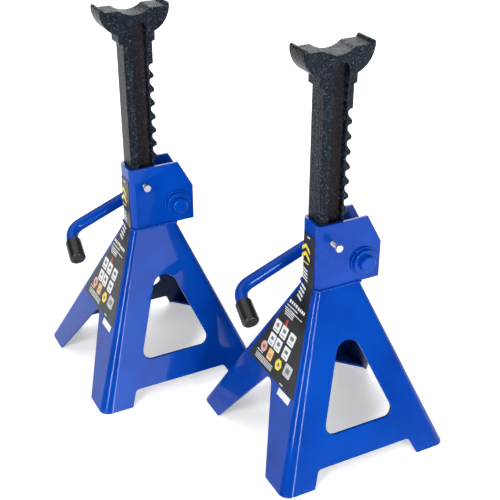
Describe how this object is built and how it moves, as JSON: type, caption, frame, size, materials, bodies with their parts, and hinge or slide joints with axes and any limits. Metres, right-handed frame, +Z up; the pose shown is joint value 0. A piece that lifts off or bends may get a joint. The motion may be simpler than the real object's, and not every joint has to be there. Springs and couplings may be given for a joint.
{
  "type": "pair of ratchet axle stands",
  "caption": "Ratchet jack stands on hollow pyramid bases: toothed cast column with a cradle saddle slides in a channel head, locked by a pawl with a bent handle.",
  "frame": {"origin": "on the floor, at the middle of the pair's bounding box", "axes": "+Z up along the columns; the labels face -X; each handle is on its stand's +Y side; the left stand is at -X, +Y and the right stand at +X, -Y"},
  "size_m": [0.537, 0.6892, 0.736],
  "materials": {
    "blue_paint": "gloss",
    "black_casting": "rough, black painted",
    "zinc": "bright zinc plate",
    "grip_rubber": "satin",
    "label_print": "printed film",
    "label_paper": "printed film"
  },
  "bodies": {
    "left_frame": {"left_base_half_near": "blue_paint", "left_base_half_far": "blue_paint", "left_front_seam_weld": "blue_paint", "left_back_seam_weld": "blue_paint", "left_foot_plate_front_near": "blue_paint", "left_foot_plate_front_far": "blue_paint", "left_foot_plate_back_near": "blue_paint", "left_foot_plate_back_far": "blue_paint", "left_head_channel": "blue_paint", "left_neck_weld_near": "blue_paint", "left_neck_weld_far": "blue_paint", "left_rear_guide_bar": "blue_paint", "left_pivot_washer_near": "blue_paint", "left_pivot_washer_far": "blue_paint", "left_stop_bolt": "zinc", "left_front_label": "label_print", "left_id_strip": "label_paper"},
    "left_column": {"left_ratchet_column": "black_casting"},
    "left_pawl": {"left_pawl": "black_casting", "left_pivot_shaft": "blue_paint", "left_shaft_collar": "blue_paint", "left_handle_rod": "blue_paint", "left_handle_weld": "blue_paint", "left_handle_grip": "grip_rubber"},
    "right_frame": {"right_base_half_near": "blue_paint", "right_base_half_far": "blue_paint", "right_front_seam_weld": "blue_paint", "right_back_seam_weld": "blue_paint", "right_foot_plate_front_near": "blue_paint", "right_foot_plate_front_far": "blue_paint", "right_foot_plate_back_near": "blue_paint", "right_foot_plate_back_far": "blue_paint", "right_head_channel": "blue_paint", "right_neck_weld_near": "blue_paint", "right_neck_weld_far": "blue_paint", "right_rear_guide_bar": "blue_paint", "right_pivot_washer_near": "blue_paint", "right_pivot_washer_far": "blue_paint", "right_stop_bolt": "zinc", "right_front_label": "label_print", "right_id_strip": "label_paper"},
    "right_column": {"right_ratchet_column": "black_casting"},
    "right_pawl": {"right_pawl": "black_casting", "right_pivot_shaft": "blue_paint", "right_shaft_collar": "blue_paint", "right_handle_rod": "blue_paint", "right_handle_weld": "blue_paint", "right_handle_grip": "grip_rubber"}
  },
  "joints": [
    {"name": "right_stand_spacing", "type": "slide", "parent": "left_frame", "child": "right_frame", "axis": [0, -1, 0], "range_m": [0, 0.5]},
    {"name": "left_column_height", "type": "slide", "parent": "left_frame", "child": "left_column", "axis": [0, 0, 1], "range_m": [-0.2385, 0.0265]},
    {"name": "left_pawl_lift", "type": "hinge", "parent": "left_frame", "child": "left_pawl", "pos_m": [-0.0411, 0.1796, 0.3454], "axis": [0, 1, 0], "range_deg": [-12, 35]},
    {"name": "right_column_height", "type": "slide", "parent": "right_frame", "child": "right_column", "axis": [0, 0, 1], "range_m": [-0.2385, 0.0265]},
    {"name": "right_pawl_lift", "type": "hinge", "parent": "right_frame", "child": "right_pawl", "pos_m": [0.1559, -0.1796, 0.3454], "axis": [0, 1, 0], "range_deg": [-12, 35]}
  ]
}
